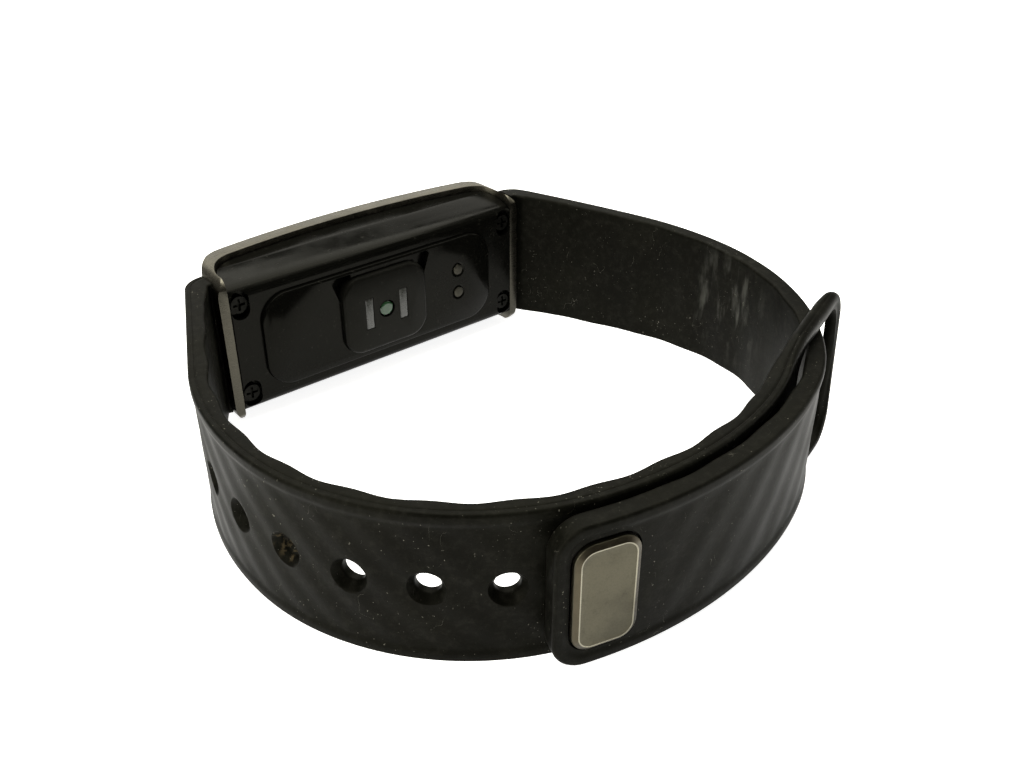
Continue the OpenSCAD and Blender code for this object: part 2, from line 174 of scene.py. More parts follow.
def combine(obj, other, operation):
    """Cuts, joins or intersects obj with other, and removes other."""
    boolean = obj.modifiers.new("boolean", "BOOLEAN")
    boolean.operation = operation
    boolean.solver = "EXACT"
    boolean.object = other
    bake_modifiers(obj)
    bpy.data.objects.remove(other)
    return obj


def cut(obj, *others):
    for other in others:
        combine(obj, other, "DIFFERENCE")


def bevel(obj, width, segments=3, angle_deg=30):
    """Rounds the edges sharper than angle_deg."""
    modifier = obj.modifiers.new("bevel", "BEVEL")
    modifier.width = width * MM
    modifier.segments = segments
    modifier.limit_method = "ANGLE"
    modifier.angle_limit = math.radians(angle_deg)
    modifier.harden_normals = False
    bake_modifiers(obj)
    smooth(obj)


def rounded_outline(w, h, r, steps=10):
    """Points of a rounded rectangle, anticlockwise, centred on the origin."""
    points = []
    for corner, (cx, cy) in enumerate([(1, 1), (-1, 1), (-1, -1), (1, -1)]):
        for i in range(steps + 1):
            a = math.radians(90 * (corner + i / steps))
            points.append((cx * (w / 2 - r) + r * math.cos(a), cy * (h / 2 - r) + r * math.sin(a)))
    return points


def circle_outline(r, steps=48):
    turns = [2 * math.pi * i / steps for i in range(steps)]
    return [(r * math.cos(a), r * math.sin(a)) for a in turns]


def lathe_stack(name, rings, place):
    """A closed solid through rings of equal length.

    Rings are (outline, height), and place maps an outline's (u, v) and the height to a point.
    """
    n = len(rings[0][0])
    points = [place(u, v, height) for outline, height in rings for u, v in outline]
    faces = [(k * n + i, k * n + (i + 1) % n, (k + 1) * n + (i + 1) % n, (k + 1) * n + i)
             for k in range(len(rings) - 1) for i in range(n)]
    faces.append(tuple(reversed(range(n))))
    faces.append(tuple(range((len(rings) - 1) * n, len(rings) * n)))
    obj = build_mesh(name, points, faces)
    fix_normals(obj)
    return obj


def fix_normals(obj):
    """Turns all faces outward."""
    bm = bmesh.new()
    bm.from_mesh(obj.data)
    bmesh.ops.recalc_face_normals(bm, faces=bm.faces)
    bm.to_mesh(obj.data)
    bm.free()
    smooth(obj)


def front_place(x0=0.0, z0=0.0):
    """Maps an outline drawn in the case's front view to the case, x0 and z0 from its middle.

    Height runs along +Y.
    """
    return lambda u, v, height: (x0 + u, height, MID_Z + z0 + v)


def plan_place(u, v, height):
    """Maps an outline drawn from above; height runs along +Z."""
    return (u, v, height)


def side_place(u, v, height):
    """Maps a side-view outline (Y, Z from mid height) to the case; height runs along +X."""
    return (height, u, MID_Z + v)


# ---------------------------------------------------------------- paths of the straps
def ahead(h):
    """Unit vector along heading h, in degrees."""
    return np.stack([np.cos(np.radians(h)), np.sin(np.radians(h))], -1)


def left_of(h):
    """Unit vector to the left of heading h."""
    return np.stack([-np.sin(np.radians(h)), np.cos(np.radians(h))], -1)


def along(start, heading, bends, s):
    """Points and headings at distances s.

    A bend is (0, length) where the path is straight, or (radius, angle) with + to the left.
    """
    s = np.asarray(s, float)
    point, h, done = np.array(start, float), heading, 0.0
    points, headings = np.zeros(s.shape + (2,)), np.zeros(s.shape)
    for i, (r, a) in enumerate(bends):
        length = a if r == 0 else r * abs(a) * math.pi / 180
        here = (s >= done) if i else np.ones(s.shape, bool)
        if r == 0:
            where = point + (s - done)[..., None] * ahead(np.full(s.shape, h))
            turned = np.full(s.shape, float(h))
            point = point + a * ahead(h)
        else:
            turned = h + a * (s - done) / length
            where = point + r * np.sign(a) * (left_of(h) - left_of(turned))
            point = point + r * np.sign(a) * (left_of(h) - left_of(h + a))
            h = h + a
        points[here], headings[here] = where[here], turned[here]
        done += length
    return points, headings


# each strap leaves the case through a short bend and a short straight run
JOIN_R, JOIN_A, JOIN_RUN = 3, 71.3, 2
JOIN_LEN = JOIN_R * math.radians(JOIN_A) + JOIN_RUN
LONG_START, LONG_HEADING = (-20.2, -2.9), -113.7 - JOIN_A
LONG_BENDS = [(JOIN_R, JOIN_A), (0, JOIN_RUN + 14.8), (33.3, 29.1), (25.9, 70.2), (38.8, 37.7),
              (0, 1.8), (30, -2.8), (0, 40)]
SHORT_START, SHORT_HEADING = (20.7, -3.2), JOIN_A - 66.3
SHORT_BENDS = [(JOIN_R, -JOIN_A), (0, JOIN_RUN + 2.3), (197, -3.5), (36, -19.1), (25, -23), (34.5, -26.7),
               (26.5, -17.1), (43, -15.9), (44.5, -43.8)]

# distances along the long strap, then along the short one
ROOT_S = 0.2
HOLE_COUNT, HOLE_PITCH, FIRST_HOLE = 10, 6.7, 22.15
HOLES = [JOIN_LEN + FIRST_HOLE + HOLE_PITCH * i for i in range(HOLE_COUNT)]
LOOP_PIVOT_S = JOIN_LEN + 91.5
LOOP_END_S = LOOP_PIVOT_S + 17.6
DUST_S = 36.0        # dusty patch inside the strap
TIP_END_S = JOIN_LEN + 94.8
CLASP_S = JOIN_LEN + 90.2
TIP_PIVOT_S = CLASP_S - 14

# thickness and width of the straps, at the root and beyond it
ROOT_T, STRAP_T, ROOT_TAPER = 2.9, 2.0, 8.0
ROOT_W, LONG_W, SHORT_W = 16.5, 15.5, 14.6
ROOT_SIDE_S = 60     # the root's widening lies before this distance
STEP = 0.34          # spacing of the straps' grids


def ease(x, x0, x1):
    """0 before x0, 1 after x1, smooth between."""
    t = np.clip((np.asarray(x, float) - x0) / (x1 - x0), 0, 1)
    return t * t * (3 - 2 * t)


class Strap:
    """One strap. Its path follows the outer face; side is +1 where the wrist is on the path's left."""

    def __init__(self, start, heading, bends, side, end_s, corner_r):
        self.start, self.heading, self.bends = start, heading, bends
        self.side, self.end_s, self.corner_r = side, end_s, corner_r

    def at(self, s):
        return along(self.start, self.heading, self.bends, s)

    def widened(self, s, width, from_y, over):
        """Half the width, growing from width at from_y to the root's width nearer the case."""
        y = self.at(s)[0][..., 1]
        return (width + (ROOT_W - width) * np.clip((y - from_y) / over, 0, 1) * (s < ROOT_SIDE_S)) / 2

    def thickness(self, s):
        """From ROOT_T at the root to STRAP_T from ROOT_TAPER on."""
        return STRAP_T + (ROOT_T - STRAP_T) * np.clip(1 - s / ROOT_TAPER, 0, 1)

    def front(self, s):
        """How far the outer face lies behind the path."""
        return np.zeros(np.shape(s))

    def roundness(self, s):
        """How much rounder the edges are than the strap's usual ones."""
        return np.ones(np.shape(s))

    def lean(self, s, z):
        """How far the faces are shifted inward at height z."""
        return np.zeros(np.shape(s))

    def points(self, s, z, t):
        """3-D points at distance s, height z from the middle and depth t behind the outer face."""
        xy, h = self.at(s)
        inward = self.side * left_of(h)
        depth = t + self.lean(s, z)
        xy = xy + depth[..., None] * inward
        return np.concatenate([xy, (MID_Z + z)[..., None]], -1)


class LongStrap(Strap):
    """The strap with the adjusting holes. It ends in the keeper loop.

    Scallop is the depth of the waves on the wrist side, slant and pitch are the outer ribs', and
    crease is the side face's groove, as (depth, inset) from the bead inward.
    """
    scallop, slant, pitch = 0.26, 1.0, 4.6
    crease = [(0.5, 0.0), (0.6, 0.0), (0.66, 0.06), (0.7, 0.07), (0.75, 0.05), (0.82, 0.0), (1.1, 0.0)]
    loop_thinning, loop_set_back, loop_rounding, loop_lean = 0.35, 0.15, 0.9, 0.8

    def half_width(self, s):
        loop_extra = (CASE_H - LONG_W) / 2 * ease(s, LOOP_PIVOT_S - 3.5, LOOP_PIVOT_S + 4.5)
        return self.widened(s, LONG_W, -22, 16) + loop_extra

    def thickness(self, s):
        thinner = ease(s, LOOP_PIVOT_S - 2, LOOP_PIVOT_S + 2) + ease(s, LOOP_END_S - 6, LOOP_END_S - 1)
        return super().thickness(s) - self.loop_thinning * thinner

    def front(self, s):
        return self.loop_set_back * ease(s, LOOP_PIVOT_S - 2, LOOP_PIVOT_S + 2)

    def roundness(self, s):
        """The loop's edges are rounder than the strap's."""
        return 1 + self.loop_rounding * ease(s, LOOP_PIVOT_S - 2, LOOP_PIVOT_S + 3)

    def lean(self, s, z):
        """The loop's lower edge stands further out than its upper edge."""
        return -self.loop_lean * (0.5 - z / CASE_H) * ease(s, LOOP_PIVOT_S, LOOP_END_S - 3)

    def ribs(self, s):
        """1 where the faces are ribbed, 0 where they are plain."""
        return ease(s, 9, 13) * (1 - ease(s, LOOP_PIVOT_S - 7, LOOP_PIVOT_S - 3))


class ShortStrap(Strap):
    """The strap that carries the clasp."""
    scallop, slant, pitch = 0.14, 0.8, 5.4
    crease = [(0.6, 0.0), (1.1, 0.0)]

    def half_width(self, s):
        return self.widened(s, SHORT_W, -38, 32)

    def ribs(self, s):
        return ease(s, 7, 11) * (1 - ease(s, TIP_END_S - 12.5, TIP_END_S - 9))


LONG_STRAP = LongStrap(LONG_START, LONG_HEADING, LONG_BENDS, 1, LOOP_END_S, 3.5)
SHORT_STRAP = ShortStrap(SHORT_START, SHORT_HEADING, SHORT_BENDS, -1, TIP_END_S, 3.0)

EDGE_R = 0.34        # rounding of the outer bead
INNER_R = 0.3        # rounding of the inner edge
BEAD_W = 0.75        # the bead's flat top ends here
FACE_AT = 1.45       # and the ribbed face begins here
FACE_SINK = 0.16     # depth of the face below the bead
INSET = 1.6          # the grids' rows begin here
INNER_PITCH = 7.0    # pitch and slant of the waves on the wrist side
INNER_SLANT = 0.12
OUTER_DEPTH = 0.095  # depth of the slanted ribs


def edge_offsets():
    """Distances from the outline at which a face has a ring of points."""
    arc = [EDGE_R * (1 - math.cos(math.radians(a))) for a in (0, 15, 30, 45, 60, 75, 90)]
    return arc + [0.55, BEAD_W, 0.87, 0.98, 1.1, 1.22, 1.33, FACE_AT, INSET]


def edge_round(e, r):
    """How far an edge rounded to r falls away at distance e from it."""
    return r - np.sqrt(np.maximum(r * r - np.maximum(r - e, 0) ** 2, 0))


def wave(distance, pitch):
    """0 to 1 and back over each pitch."""
    return 0.5 - 0.5 * np.cos(2 * np.pi * distance / pitch)


def outer_depth(strap, s, z, e):
    """Depth of the outer face behind the path: bead, step down, and slanted ribs."""
    rib = OUTER_DEPTH * wave(s + strap.slant * z, strap.pitch) * ease(e, 1.0, 2.2) * strap.ribs(s)
    sink = FACE_SINK * ease(e, BEAD_W, FACE_AT) + rib
    return strap.front(s) + edge_round(e, EDGE_R * strap.roundness(s)) + sink


def inner_depth(strap, s, z, e):
    """Depth of the wavy wrist side behind the path."""
    return (strap.front(s) + strap.thickness(s) - edge_round(e, INNER_R * strap.roundness(s))
            - strap.scallop * wave(s + INNER_SLANT * z, INNER_PITCH) * strap.ribs(s))


def strap_outline(strap):
    """Two functions that give the strap's upper edge and its rounded end, inset by e, as (s, z)."""
    r, end = strap.corner_r, strap.end_s
    half_end = float(strap.half_width(np.array(end)))
    straight = np.arange(ROOT_S, end - r, STEP)
    straight = np.append(straight, end - r)
    upper_turn = np.radians(np.linspace(90, 45, 6))[1:]
    end_turn = np.radians(np.linspace(0, 45, 6))[1:]
    half_rows = np.linspace(0, half_end - r, max(3, round((half_end - r) / STEP)))

    def top(e):
        """Upper edge, inset by e, up to the middle of the corner."""
        s = np.concatenate([straight, end - r + (r - e) * np.cos(upper_turn)])
        z = np.concatenate([strap.half_width(straight) - e, half_end - r + (r - e) * np.sin(upper_turn)])
        return s, z

    def tip(e):
        """End edge, inset by e, from mid height to the middle of the corner."""
        s = np.concatenate([np.full(len(half_rows), end - e), end - r + (r - e) * np.cos(end_turn)])
        z = np.concatenate([half_rows, half_end - r + (r - e) * np.sin(end_turn)])
        return s, z

    return top, tip


def build_strap(name, strap):
    """Closed solid: outer face, edge band and inner face over the same grid."""
    top, tip = strap_outline(strap)
    s_top, z_top = top(INSET)
    s_tip, z_tip = tip(INSET)
    cols = len(s_top)
    share = np.concatenate([-z_tip[::-1], z_tip[1:]]) / z_tip[-1]
    tip_s = np.concatenate([s_tip[::-1], s_tip[1:]])
    rows = len(share)
    blend_cols = 24
    ramp = ease(np.arange(cols), cols - 1 - blend_cols, cols - 1)
    grid_s = s_top[:, None] + ramp[:, None] * (tip_s - s_top[-1])[None, :]
    grid_z = z_top[:, None] * share[None, :]

    def ring(e):
        """The outline inset by e: lower edge from the root, round the end, back along the upper edge."""
        s1, z1 = top(e)
        s2, z2 = tip(e)
        s = np.concatenate([s1, s2[::-1][1:], s2[1:], s1[::-1][1:]])
        z = np.concatenate([-z1, -z2[::-1][1:], z2[1:], z1[::-1][1:]])
        return s, z

    n = len(ring(0)[0])
    points, faces = [], []

    def add(s, z, t):
        """Adds a row of points and returns the index of its first."""
        first = sum(len(p) for p in points)
        points.append(strap.points(s, z, t))
        return first

    def skin(depth, flip):
        """The grid and the rings round it. Returns the indices of the outermost ring."""
        to_side = strap.half_width(grid_s) - np.abs(grid_z)
        e_grid = np.maximum(np.minimum(to_side, strap.end_s - grid_s), INSET)
        first = add(grid_s.ravel(), grid_z.ravel(), depth(strap, grid_s, grid_z, e_grid).ravel())
        index = first + np.arange(cols * rows).reshape(cols, rows)
        for i in range(cols - 1):
            for j in range(rows - 1):
                quad = (index[i, j], index[i + 1, j], index[i + 1, j + 1], index[i, j + 1])
                faces.append(quad[::-1] if flip else quad)
        edge = np.concatenate([index[:, 0], index[-1, 1:-1], index[::-1, -1]])
        for e in reversed(edge_offsets()[:-1]):
            s, z = ring(e)
            start = add(s, z, depth(strap, s, z, np.full(s.shape, e)))
            new = start + np.arange(n)
            for i in range(n - 1):
                quad = (edge[i], new[i], new[i + 1], edge[i + 1])
                faces.append(quad[::-1] if flip else quad)
            edge = new
        return edge

    outer = skin(outer_depth, False)
    inner = skin(inner_depth, True)
    s, z = ring(0)
    front = strap.front(s)
    bead = front + EDGE_R * strap.roundness(s)
    back = inner_depth(strap, s, z, np.zeros(s.shape))
    last = outer
    for t, e in strap.crease:
        # each row of the side face stays between the bead and the inner edge, and in order
        s, z = ring(e)
        depth = np.minimum(np.maximum(front + t, bead + 0.03 * t), back - 0.02 * (1.2 - t))
        new = add(s, z, depth) + np.arange(n)
        faces.extend((last[i], new[i], new[i + 1], last[i + 1]) for i in range(n - 1))
        last = new
    faces.extend((last[i], inner[i], inner[i + 1], last[i + 1]) for i in range(n - 1))
    points = np.concatenate(points)
    obj = build_mesh(name, points, faces)
    close_ends(obj)
    return obj


def close_ends(obj):
    """Fills the open root end and turns all faces outward."""
    bm = bmesh.new()
    bm.from_mesh(obj.data)
    bmesh.ops.remove_doubles(bm, verts=bm.verts, dist=1e-8)
    open_edges = [e for e in bm.edges if e.is_boundary]
    bmesh.ops.holes_fill(bm, edges=open_edges, sides=0)
    bmesh.ops.recalc_face_normals(bm, faces=bm.faces)
    bm.to_mesh(obj.data)
    bm.free()
    smooth(obj)


def on_strap(strap, s0):
    """Maps an outline (along, up) and a depth to the flat plane that touches the strap at s0."""
    xy, h = strap.at(np.array(s0))
    run, inward = ahead(h), strap.side * left_of(h)

    def place(u, v, depth):
        p = xy + u * run + depth * inward
        return (p[0], p[1], MID_Z + v)
    return place


def bend_span(strap, s0, reach):
    """Start and end, in metres, of a bend of the rubber that reaches this far either side of s0."""
    pivot, h = strap.at(np.array(s0))
    ends = pivot - reach * ahead(h), pivot + reach * ahead(h)
    return [(x * MM, y * MM, MID_Z * MM) for x, y in ends]


# ---------------------------------------------------------------- the rubber pieces
SLOT_L, SLOT_H, SLOT_R = 12.8, 15.2, 2.4     # the keeper loop's slot
LOOP_BAR_W = 1.6                             # and the bar that closes it
PLATE_L, PLATE_H, PLATE_R = 6.0, 10.9, 1.8
STUD_R, STUD_CLEARANCE = 0.55, 0.01
LOOP_BEND, TIP_BEND = 2.2, 4                 # how far the rubber bends either side of a pivot
RUBBER_SHARP_DEG = 40


def funnel(strap, s0):
    """Cutter for an adjusting hole: a wide mouth, a straight bore and a small flare at the back."""
    profile = [(-0.6, 2.0), (0.12, 1.86), (0.2, 1.74), (0.3, 1.65), (0.62, 1.42), (0.9, 1.22),
               (1.05, 1.12), (1.2, 1.1), (1.7, 1.1), (1.86, 1.16), (2.0, 1.32), (2.5, 1.6)]
    rings = [(circle_outline(r), depth) for depth, r in profile]
    return lathe_stack("funnel", rings, on_strap(strap, s0))


def make_long_strap(rubber):
    """The strap with its ten holes and the keeper loop's slot. The flare is (depth, growth)."""
    strap = LONG_STRAP
    obj = build_strap("long_strap_and_loop", strap)
    middle = LOOP_END_S - LOOP_BAR_W - SLOT_L / 2
    flare = [(-1.5, 1.2), (-0.12, 0.5), (0.02, 0.3), (0.2, 0.13), (0.45, 0.03), (0.8, 0), (1.15, 0.03),
             (1.4, 0.13), (1.6, 0.3), (1.75, 0.5), (3.2, 1.2)]
    rings = [(rounded_outline(SLOT_L + 2 * g, SLOT_H + 2 * g, SLOT_R + g), depth) for depth, g in flare]
    slot = lathe_stack("slot", rings, on_strap(strap, middle))
    cut(obj, slot, *[funnel(strap, s0) for s0 in HOLES])
    smooth(obj, RUBBER_SHARP_DEG)
    paint(obj, rubber)
    start, end = bend_span(strap, LOOP_PIVOT_S, LOOP_BEND)
    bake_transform(obj)
    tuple(start)
    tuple(end)
    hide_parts("long_strap", "keeper_loop")


def make_short_strap(rubber):
    """The strap with the recess for the clasp plate and the hole for its stud."""
    strap = SHORT_STRAP
    obj = build_strap("short_strap_and_tip", strap)
    place = on_strap(strap, CLASP_S)
    flare = [(-1.5, 0.7), (0.1, 0.42), (0.18, 0.28), (0.3, 0.18), (0.5, 0.15), (0.75, 0.15)]
    rings = [(rounded_outline(PLATE_L + 2 * g, PLATE_H + 2 * g, PLATE_R + g), depth) for depth, g in flare]
    recess = lathe_stack("recess", rings, place)
    stud_hole = prism("stud_hole", circle_outline(STUD_R + STUD_CLEARANCE), -1, 3, place)
    cut(obj, recess, stud_hole)
    smooth(obj, RUBBER_SHARP_DEG)
    paint(obj, rubber)
    start, end = bend_span(strap, TIP_PIVOT_S, TIP_BEND)
    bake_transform(obj)
    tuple(start)
    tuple(end)
    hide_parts("short_strap", "strap_tip")


# ---------------------------------------------------------------- the clasp
# the bevel rings get a darker copy of the plate's steel as painted shade, the rim rings a much lighter copy
# as a painted highlight
BEVEL_RINGS, RIM_RINGS = (3, 4), (5, 6, 7)   # rings of the plate's profile


def make_clasp(plate_steel, bevel_shade_steel, rim_highlight_steel, steel):
    """The plate let into the strap's end, and the stud on its back. Profiles are (depth, inset)."""
    place = on_strap(SHORT_STRAP, CLASP_S)
    profile = [(0.5, 0.05), (0.42, 0.0), (0.02, 0.0), (-0.04, 0.03), (-0.27, 0.4), (-0.32, 0.45),
               (-0.33, 0.49), (-0.32, 0.53), (-0.31, 0.57), (-0.31, 1.2)]
    rings = [(rounded_outline(PLATE_L - 2 * g, PLATE_H - 2 * g, PLATE_R - g), depth)
             for depth, g in profile]
    plate = lathe_stack("clasp_plate_finished", rings, place)
    smooth(plate, 25)
    paint(plate, plate_steel, bevel_shade_steel, rim_highlight_steel)
    # painted shade on the bevel rings, painted highlight on the rim rings
    for face in plate.data.polygons:
        ring = face.index // len(rings[0][0])
        if ring in BEVEL_RINGS:
            face.material_index = 1
        elif ring in RIM_RINGS:
            face.material_index = 2
    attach(plate, "clasp")
    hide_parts("clasp_plate")
    shape = [(0.52, 0.5), (0.52, STUD_R), (4.2, STUD_R), (4.32, 0.58), (4.42, 0.73), (4.6, 0.75),
             (4.85, 0.68), (5.02, 0.5), (5.08, 0.25)]
    stud = lathe_stack("clasp_stud_finished", [(circle_outline(r, 32), depth) for depth, r in shape], place)
    paint(stud, steel)
    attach(stud, "clasp")
    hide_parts("clasp_stud")


# ---------------------------------------------------------------- the case
ARCH_A = 9.0         # degrees from the middle of the arched front to its end corner
BAR_T, RAIL_T = 1.1, 1.2
RAIL_D, ARCH_R = 1.9, 5.0
INNER_HALF = HALF_L - BAR_T
INNER_H = CASE_H - 2 * RAIL_T
FIT = 0.1            # play between the frame and what is set into it


def arched_outline(half, r, crown, base_y, arch_steps=48, corner_steps=18):
    """Plan outline of the arched case, from one end of its base over the arch to the other."""
    a0 = math.radians(ARCH_A)
    arch_half = half - r * (1 - math.sin(a0))
    arch_r = arch_half / math.sin(a0)
    cx, cy = half - r, crown - arch_r * (1 - math.cos(a0)) - r * math.cos(a0)
    points = [(half, base_y)]
    for i in range(corner_steps + 1):
        a = (math.pi / 2 - a0) * i / corner_steps
        points.append((cx + r * math.cos(a), cy + r * math.sin(a)))
    for i in range(1, arch_steps + 1):
        a = math.pi / 2 - a0 + 2 * a0 * i / arch_steps
        points.append((arch_r * math.cos(a), crown - arch_r + arch_r * math.sin(a)))
    for i in range(1, corner_steps + 1):
        a = math.pi / 2 + a0 + (math.pi / 2 - a0) * i / corner_steps
        points.append((-cx + r * math.cos(a), cy + r * math.sin(a)))
    points.append((-half, base_y))
    return points


def prism(name, outline, low, high, place):
    return lathe_stack(name, [(outline, low), (outline, high)], place)


def mirrored(profile):
    """A side-view profile (Y, Z) followed by its mirror image below mid height."""
    return profile + [(y, -z) for y, z in reversed(profile)]


def make_bezel(metal):
    """One piece of metal: two arched rails joined by two end bars."""
    ring = prism("bezel", arched_outline(HALF_L, ARCH_R, CROWN, BAR_REAR_Y), 0, CASE_H, plan_place)
    inner = prism("inner", arched_outline(INNER_HALF, ARCH_R - BAR_T, CROWN - RAIL_D, BAR_REAR_Y - 2),
                  -1, CASE_H + 1, plan_place)
    opening = prism("opening", rounded_outline(2 * INNER_HALF, INNER_H, 1.4), -20, 10, front_place())
    outside = prism("outside", rounded_outline(2 * HALF_L, CASE_H, 2.4, 12), -20, 10, front_place())
    cut(ring, inner, opening)
    combine(ring, outside, "INTERSECT")
    bulge = [(6, 9.4), (-3.6, 9.4), (-5.2, 9.25), (-6.2, 8.95), (-6.8, 8.6), (-7.2, 8.1), (-7.4, 7.6)]
    combine(ring, prism("bulge", mirrored(bulge), -30, 30, side_place), "INTERSECT")
    bevel(ring, 0.22, 3)
    ring.name = "bezel_frame_finished"
    paint(ring, metal)
    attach(ring, "band")
    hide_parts("bezel_frame")


def make_inserts(steel):
    """Stiff plates in the strap roots, shorter than the rubber that covers them."""
    inner, outer, height = 17.3, 21.7, 14.4
    outline = rounded_outline(outer - inner, height, 0.5, 4)
    for side, node in ((-1, "long_strap_insert"), (1, "short_strap_insert")):
        insert = prism(node + "_finished", outline, -5.15, -3.95, front_place(side * (inner + outer) / 2))
        for z in (-SCREW_Z, SCREW_Z):
            hole = circle_outline(0.65, 24)
            cut(insert, prism("screw_hole", hole, -8, 0, front_place(side * SCREW_X, z)))
        paint(insert, steel)
        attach(insert, "band")
        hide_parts(node)


def make_glass(glass):
    """The display's curved glass, a shell inside the arched frame."""
    half = INNER_HALF - FIT
    shell = prism("glass", arched_outline(half, 3.9, CROWN + 0.2, -11), 0, CASE_H, plan_place)
    inside = prism("inside", arched_outline(half - 0.9, 3.0, CROWN - 0.7, -12), -1, CASE_H + 1, plan_place)
    cut(shell, inside)
    window = prism("window", rounded_outline(2 * half, INNER_H - 2 * FIT, 1.3), -1.8, 10, front_place())
    combine(shell, window, "INTERSECT")
    bevel(shell, 0.3, 4)
    shell.name = "display_glass_finished"
    paint(shell, glass)
    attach(shell, "band")
    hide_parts("display_glass")


COVER_Y, ISLAND_Y, PAD_Y, FLOOR_Y = -7.4, -7.9, -8.6, -6.4
SENSOR_X, CONTACT_X, CONTACT_Z = -0.5, 10.7, 1.55
SCREW_X, SCREW_Z = 18.4, 5.6
ISLAND_X, ISLAND_L, ISLAND_H, ISLAND_R = -0.3, 32.0, 11.7, 3.4
PAD_L, PAD_H, PAD_R = 11.7, 9.9, 2.5
PAD_GAP = 0.05       # clearance of the pad in its opening
WINDOW_X, WINDOW_W, WINDOW_H = 2.4, 1.1, 4.0
WINDOW_GAP = 0.01
WELL_W, WELL_H, WELL_R, WELL_DEPTH = 2.2, 3.4, 1.09, 0.9
ROOM_L, ROOM_H = 34, 14.6


def rear_cover_cutters():
    """What is cut out of the rear cover: openings for the pad, contacts and screws, and two notches."""
    opening = rounded_outline(PAD_L + 2 * PAD_GAP, PAD_H + 2 * PAD_GAP, PAD_R + PAD_GAP)
    cutters = [prism("pad_hole", opening, -20, 0, front_place(SENSOR_X))]
    for z in (-CONTACT_Z, CONTACT_Z):
        dish = [(1.05, -9), (1.0, ISLAND_Y + 0.02), (0.75, ISLAND_Y + 0.15), (0.75, 0)]
        rings = [(circle_outline(r), y) for r, y in dish]
        cutters.append(lathe_stack("contact_hole", rings, front_place(CONTACT_X, z)))
    for x in (-SCREW_X, SCREW_X):
        for z in (-SCREW_Z, SCREW_Z):
            well = rounded_outline(WELL_W, WELL_H, WELL_R)
            cutters.append(prism("well", well, -9, COVER_Y + WELL_DEPTH, front_place(x, z)))
            cutters.append(prism("shank", circle_outline(0.7, 24), -8, 0, front_place(x, z)))
    notch = [(4.2, 1.7), (5.7, 1.7), (6.9, 5.1), (6.6, 5.5), (4.2, 5.5)]
    for side in (-1, 1):
        outline = [(side * u, v) for u, v in notch]
        cutters.append(prism("notch", outline, -9, ISLAND_Y + 0.9, front_place(SENSOR_X)))
    return cutters


def make_rear_cover(gloss):
    """Gloss tub with sloped sides, hollow inside, with a shallow island on its wrist side."""
    outline = arched_outline(INNER_HALF - FIT, ARCH_R - BAR_T, CROWN - RAIL_D - 2 * FIT, COVER_Y)
    tub = prism("tub", outline, 0, CASE_H, plan_place)
    slope = [(0, 8.6), (-3.2, 8.58), (-5.1, 8.1), (-6.0, 7.9), (-6.6, 7.72), (-6.95, 7.52), (-7.2, 7.25),
             (-7.33, 6.95), (COVER_Y, 6.5)]
    combine(tub, prism("profile", mirrored(slope), -30, 30, side_place), "INTERSECT")
    hollow = prism("hollow", rounded_outline(ROOM_L, ROOM_H, 0.5), FLOOR_Y, 5, front_place())
    ends = prism("ends", rounded_outline(60, ROOM_H, 0.5), -5.2, 5, front_place())
    cut(tub, hollow, ends)
    bevel(tub, 0.25, 3, 25)
    rim = [(FLOOR_Y - 0.2, 0), (ISLAND_Y + 0.25, 0), (ISLAND_Y + 0.1, 0.06), (ISLAND_Y, 0.24)]
    rings = [(rounded_outline(ISLAND_L - 2 * g, ISLAND_H - 2 * g, ISLAND_R - g, 14), y) for y, g in rim]
    combine(tub, lathe_stack("island", rings, front_place(ISLAND_X)), "UNION")
    cut(tub, *rear_cover_cutters())
    smooth(tub, 30)
    tub.name = "rear_cover_finished"
    paint(tub, gloss)
    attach(tub, "band")
    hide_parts("rear_cover")


def make_sensor_pad(black):
    """The raised pad, with openings for the lens and the two windows."""
    profile = [(FLOOR_Y, 0), (PAD_Y + 0.5, 0), (PAD_Y + 0.22, 0.05), (PAD_Y + 0.08, 0.18), (PAD_Y, 0.42)]
    rings = [(rounded_outline(PAD_L - 2 * g, PAD_H - 2 * g, PAD_R - g, 12), y) for y, g in profile]
    pad = lathe_stack("sensor_cover_finished", rings, front_place(SENSOR_X))
    cutters = [prism("lens_hole", circle_outline(1.1), -20, 0, front_place(SENSOR_X))]
    half_w, half_h = WINDOW_W / 2 + WINDOW_GAP, WINDOW_H / 2 + WINDOW_GAP
    window = [(-half_w, -half_h), (half_w, -half_h), (half_w, half_h), (-half_w, half_h)]
    for x in (-WINDOW_X, WINDOW_X):
        cutters.append(prism("window_hole", window, -20, 0, front_place(SENSOR_X + x)))
    cut(pad, *cutters)
    smooth(pad, 30)
    paint(pad, black)
    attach(pad, "band")
    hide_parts("sensor_cover")


def small_piece(name, node, material, outline, profile, places):
    """One finished object from equal small parts at several places, each (x, z).

    Outline makes the part's outline for an inset, and profile lists (height, inset).
    """
    rings = [(outline(inset), y) for y, inset in profile]
    whole = None
    for x, z in places:
        part = lathe_stack(name, rings, front_place(x, z))
        whole = part if whole is None else combine(whole, part, "UNION")
    paint(whole, material)
    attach(whole, "band")
    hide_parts(node)


